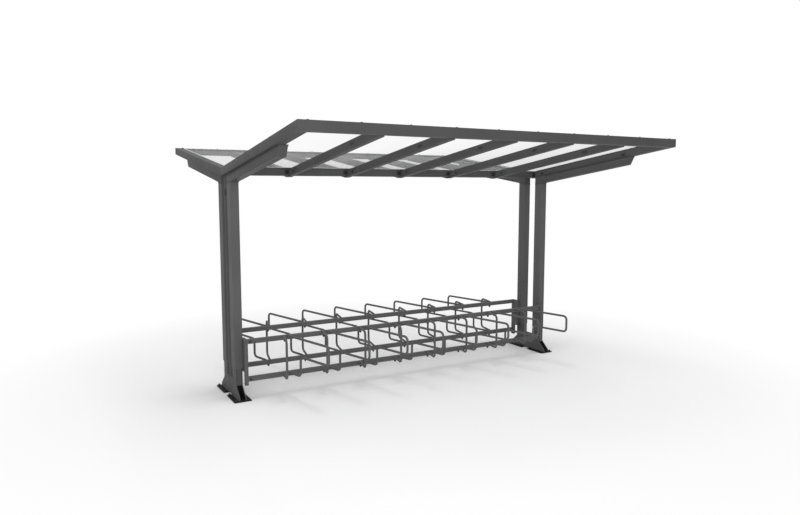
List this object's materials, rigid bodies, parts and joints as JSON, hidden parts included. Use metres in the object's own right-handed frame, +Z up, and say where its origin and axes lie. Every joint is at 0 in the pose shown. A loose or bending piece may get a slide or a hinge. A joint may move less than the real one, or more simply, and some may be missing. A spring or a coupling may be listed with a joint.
{
  "type": "bicycle shelter",
  "caption": "Double-sided bicycle shelter: butterfly roof with clear sheets on paired posts, over a two-sided rack of splayed bent-bar wheel holders.",
  "frame": {"origin": "on the ground at the middle of the shelter, between the two pairs of posts", "axes": "+X along the shelter to the right, +Y across it to the rear, +Z up"},
  "size_m": [3.82, 3.864, 2.408],
  "materials": {
    "frame_paint": "anthracite powder coat, satin",
    "foot_paint": "anthracite powder coat, satin",
    "rack_paint": "anthracite powder coat, satin",
    "roof_sheet": "clear polycarbonate, glossy"
  },
  "bodies": {
    "root": {"front_left_post": "frame_paint", "front_right_post": "frame_paint", "rear_left_post": "frame_paint", "rear_right_post": "frame_paint", "front_left_foot": "foot_paint", "front_right_foot": "foot_paint", "rear_left_foot": "foot_paint", "rear_right_foot": "foot_paint", "front_left_arm": "frame_paint", "front_right_arm": "frame_paint", "rear_left_arm": "frame_paint", "rear_right_arm": "frame_paint", "front_left_end_rafter": "frame_paint", "front_right_end_rafter": "frame_paint", "rear_left_end_rafter": "frame_paint", "rear_right_end_rafter": "frame_paint", "front_edge_beam": "frame_paint", "rear_edge_beam": "frame_paint", "front_valley_beam": "frame_paint", "rear_valley_beam": "frame_paint", "front_rafters": "frame_paint", "rear_rafters": "frame_paint", "front_roof_sheet": "roof_sheet", "rear_roof_sheet": "roof_sheet", "front_rack_frame": "rack_paint", "rear_rack_frame": "rack_paint", "downpipe": "frame_paint", "front_holder_1": "rack_paint", "front_holder_2": "rack_paint", "front_holder_3": "rack_paint", "front_holder_4": "rack_paint", "front_holder_5": "rack_paint", "front_holder_6": "rack_paint", "front_holder_7": "rack_paint", "front_holder_8": "rack_paint", "rear_holder_1": "rack_paint", "rear_holder_2": "rack_paint", "rear_holder_3": "rack_paint", "rear_holder_4": "rack_paint", "rear_holder_5": "rack_paint", "rear_holder_6": "rack_paint", "rear_holder_7": "rack_paint", "rear_holder_8": "rack_paint"}
  },
  "joints": []
}
